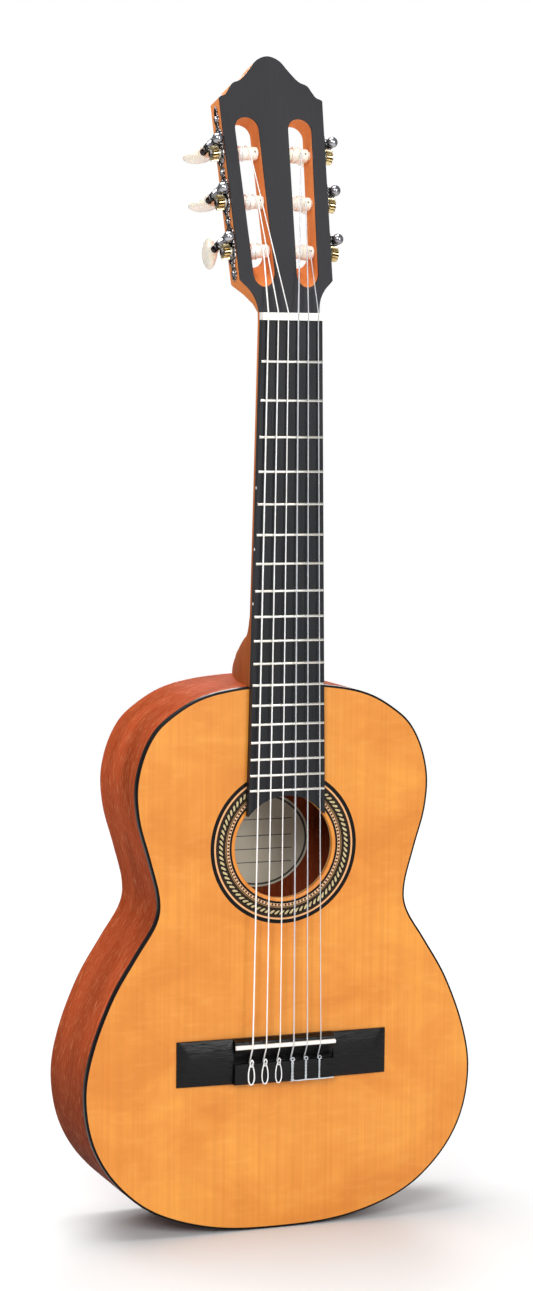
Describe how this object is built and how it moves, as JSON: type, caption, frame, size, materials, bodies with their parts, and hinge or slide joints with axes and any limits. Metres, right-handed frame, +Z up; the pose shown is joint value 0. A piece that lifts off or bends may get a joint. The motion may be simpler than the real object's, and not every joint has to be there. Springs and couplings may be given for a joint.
{
  "type": "classical guitar",
  "caption": "Small classical guitar with a slotted head, nylon strings, worm-geared tuners, a round sound hole with a rosette, and a tie bridge.",
  "frame": {"origin": "bottom of the body's tail, on the centre line, at mid-depth of the body", "axes": "+X toward the treble side seen from the front, -Y out of the soundboard toward the player's hand, +Z up from the tail along the neck"},
  "size_m": [0.279, 0.0885, 0.7893],
  "materials": {
    "spruce_top": "satin amber lacquer",
    "mahogany_body": "satin lacquer",
    "pale_wood": "bare",
    "neck_wood": "satin lacquer",
    "dark_board": "satin",
    "black_veneer": "matte",
    "black_binding": "gloss",
    "rosette_inlay": "lacquered mosaic",
    "black_bridge": "polished",
    "white_plastic": "satin",
    "fret_metal": "polished",
    "chrome_plate": "bright",
    "brass_gear": "bright",
    "roller_plastic": "satin",
    "pearl_button": "pearly",
    "nylon_string": "translucent",
    "wound_string": "silver-plated winding",
    "label_paper": "matte"
  },
  "bodies": {
    "guitar": {"soundboard": "spruce_top", "back_plate": "mahogany_body", "side_bass": "mahogany_body", "side_treble": "mahogany_body", "top_binding": "black_binding", "rosette": "rosette_inlay", "soundhole_ring": "pale_wood", "top_braces": "pale_wood", "back_braces": "pale_wood", "back_center_strip": "pale_wood", "linings": "pale_wood", "neck_block": "pale_wood", "tail_block": "pale_wood", "end_strip": "black_binding", "label": "label_paper", "neck": "neck_wood", "heel_cap": "mahogany_body", "headstock": "neck_wood", "head_veneer": "black_veneer", "fingerboard": "dark_board", "frets": "fret_metal", "side_dots": "white_plastic", "nut": "white_plastic", "bridge": "black_bridge", "saddle": "white_plastic", "tuner_plate_bass": "chrome_plate", "tuner_plate_treble": "chrome_plate", "tuner_screws": "chrome_plate", "string_1": "nylon_string", "string_2": "nylon_string", "string_3": "nylon_string", "string_4": "wound_string", "string_5": "wound_string", "string_6": "wound_string"},
    "knob_1": {"worm_1": "chrome_plate", "button_1": "pearl_button"},
    "roller_1": {"roller_1": "roller_plastic", "gear_1": "brass_gear"},
    "knob_2": {"worm_2": "chrome_plate", "button_2": "pearl_button"},
    "roller_2": {"roller_2": "roller_plastic", "gear_2": "brass_gear"},
    "knob_3": {"worm_3": "chrome_plate", "button_3": "pearl_button"},
    "roller_3": {"roller_3": "roller_plastic", "gear_3": "brass_gear"},
    "knob_4": {"worm_4": "chrome_plate", "button_4": "pearl_button"},
    "roller_4": {"roller_4": "roller_plastic", "gear_4": "brass_gear"},
    "knob_5": {"worm_5": "chrome_plate", "button_5": "pearl_button"},
    "roller_5": {"roller_5": "roller_plastic", "gear_5": "brass_gear"},
    "knob_6": {"worm_6": "chrome_plate", "button_6": "pearl_button"},
    "roller_6": {"roller_6": "roller_plastic", "gear_6": "brass_gear"}
  },
  "joints": [
    {"name": "knob_1_turn", "type": "hinge", "parent": "guitar", "child": "knob_1", "pos_m": [0.03871, -0.01758, 0.66509], "axis": [0, -0.9659, 0.2588], "continuous": true},
    {"name": "roller_1_turn", "type": "hinge", "parent": "guitar", "child": "roller_1", "pos_m": [0.03348, -0.01948, 0.658], "axis": [0.9995, -0.0083, -0.0309], "continuous": true},
    {"name": "knob_2_turn", "type": "hinge", "parent": "guitar", "child": "knob_2", "pos_m": [0.03979, -0.00887, 0.69762], "axis": [0, -0.9659, 0.2588], "continuous": true},
    {"name": "roller_2_turn", "type": "hinge", "parent": "guitar", "child": "roller_2", "pos_m": [0.03456, -0.01076, 0.69054], "axis": [0.9995, -0.0083, -0.0309], "continuous": true},
    {"name": "knob_3_turn", "type": "hinge", "parent": "guitar", "child": "knob_3", "pos_m": [0.04087, -0.00015, 0.73016], "axis": [0, -0.9659, 0.2588], "continuous": true},
    {"name": "roller_3_turn", "type": "hinge", "parent": "guitar", "child": "roller_3", "pos_m": [0.03564, -0.00205, 0.72307], "axis": [0.9995, -0.0083, -0.0309], "continuous": true},
    {"name": "knob_4_turn", "type": "hinge", "parent": "guitar", "child": "knob_4", "pos_m": [-0.04087, -0.00015, 0.73016], "axis": [0, -0.9659, 0.2588], "continuous": true},
    {"name": "roller_4_turn", "type": "hinge", "parent": "guitar", "child": "roller_4", "pos_m": [-0.03564, -0.00205, 0.72307], "axis": [-0.9995, -0.0083, -0.0309], "continuous": true},
    {"name": "knob_5_turn", "type": "hinge", "parent": "guitar", "child": "knob_5", "pos_m": [-0.03979, -0.00887, 0.69762], "axis": [0, -0.9659, 0.2588], "continuous": true},
    {"name": "roller_5_turn", "type": "hinge", "parent": "guitar", "child": "roller_5", "pos_m": [-0.03456, -0.01076, 0.69054], "axis": [-0.9995, -0.0083, -0.0309], "continuous": true},
    {"name": "knob_6_turn", "type": "hinge", "parent": "guitar", "child": "knob_6", "pos_m": [-0.03871, -0.01758, 0.66509], "axis": [0, -0.9659, 0.2588], "continuous": true},
    {"name": "roller_6_turn", "type": "hinge", "parent": "guitar", "child": "roller_6", "pos_m": [-0.03348, -0.01948, 0.658], "axis": [-0.9995, -0.0083, -0.0309], "continuous": true}
  ],
  "couplings": [
    {"joint": "roller_1_turn", "follows": "knob_1_turn", "ratio": -0.071429},
    {"joint": "roller_2_turn", "follows": "knob_2_turn", "ratio": -0.071429},
    {"joint": "roller_3_turn", "follows": "knob_3_turn", "ratio": -0.071429},
    {"joint": "roller_4_turn", "follows": "knob_4_turn", "ratio": -0.071429},
    {"joint": "roller_5_turn", "follows": "knob_5_turn", "ratio": -0.071429},
    {"joint": "roller_6_turn", "follows": "knob_6_turn", "ratio": -0.071429}
  ]
}
